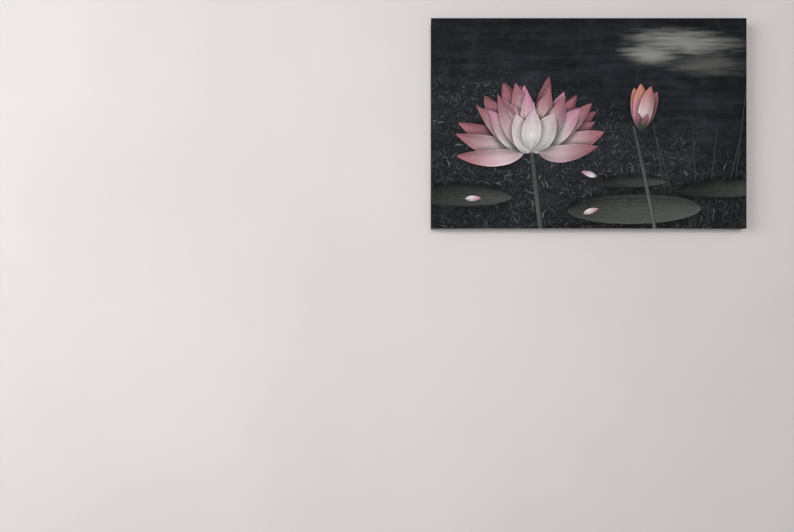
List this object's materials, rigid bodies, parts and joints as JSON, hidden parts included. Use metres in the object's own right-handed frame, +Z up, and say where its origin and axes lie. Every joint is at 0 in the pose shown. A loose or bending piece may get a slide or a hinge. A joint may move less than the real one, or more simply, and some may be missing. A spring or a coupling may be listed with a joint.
{
  "type": "canvas wall print",
  "caption": "Frameless canvas print stretched over a keyed pine frame with a centre brace, sawtooth hangers and wall bumpers.",
  "frame": {"origin": "on the wall plane, midway between the two hangers, at the height where the wall nails carry their teeth", "axes": "+Z up, +X to the right as the picture is seen, +Y into the wall, so the picture faces -Y"},
  "size_m": [0.9, 0.041, 0.6],
  "materials": {
    "canvas_print": "matt printed cotton canvas",
    "pine": "planed, unfinished",
    "beech": "sawn, unfinished",
    "zinc_steel": "bright zinc plate",
    "bumper_rubber": "matt soft rubber"
  },
  "bodies": {
    "root": {"bar_bottom": "pine", "bar_left": "pine", "bar_right": "pine", "bar_top": "pine", "brace": "pine", "bumper_bottom_left": "bumper_rubber", "bumper_bottom_right": "bumper_rubber", "bumper_top_left": "bumper_rubber", "bumper_top_right": "bumper_rubber", "canvas": "canvas_print", "hanger_left": "zinc_steel", "hanger_right": "zinc_steel", "key_bottom_left": "beech", "key_bottom_right": "beech", "key_left_bottom": "beech", "key_left_top": "beech", "key_right_bottom": "beech", "key_right_top": "beech", "key_top_left": "beech", "key_top_right": "beech", "screw_left_inner": "zinc_steel", "screw_left_outer": "zinc_steel", "screw_right_inner": "zinc_steel", "screw_right_outer": "zinc_steel", "staple_bottom_01": "zinc_steel", "staple_bottom_02": "zinc_steel", "staple_bottom_03": "zinc_steel", "staple_bottom_04": "zinc_steel", "staple_bottom_05": "zinc_steel", "staple_bottom_06": "zinc_steel", "staple_bottom_07": "zinc_steel", "staple_bottom_08": "zinc_steel", "staple_bottom_09": "zinc_steel", "staple_bottom_10": "zinc_steel", "staple_bottom_11": "zinc_steel", "staple_left_01": "zinc_steel", "staple_left_02": "zinc_steel", "staple_left_03": "zinc_steel", "staple_left_04": "zinc_steel", "staple_left_05": "zinc_steel", "staple_left_06": "zinc_steel", "staple_right_01": "zinc_steel", "staple_right_02": "zinc_steel", "staple_right_03": "zinc_steel", "staple_right_04": "zinc_steel", "staple_right_05": "zinc_steel", "staple_right_06": "zinc_steel", "staple_top_01": "zinc_steel", "staple_top_02": "zinc_steel", "staple_top_03": "zinc_steel", "staple_top_04": "zinc_steel", "staple_top_05": "zinc_steel", "staple_top_06": "zinc_steel", "staple_top_07": "zinc_steel", "staple_top_08": "zinc_steel", "staple_top_09": "zinc_steel", "staple_top_10": "zinc_steel", "staple_top_11": "zinc_steel"}
  },
  "joints": []
}
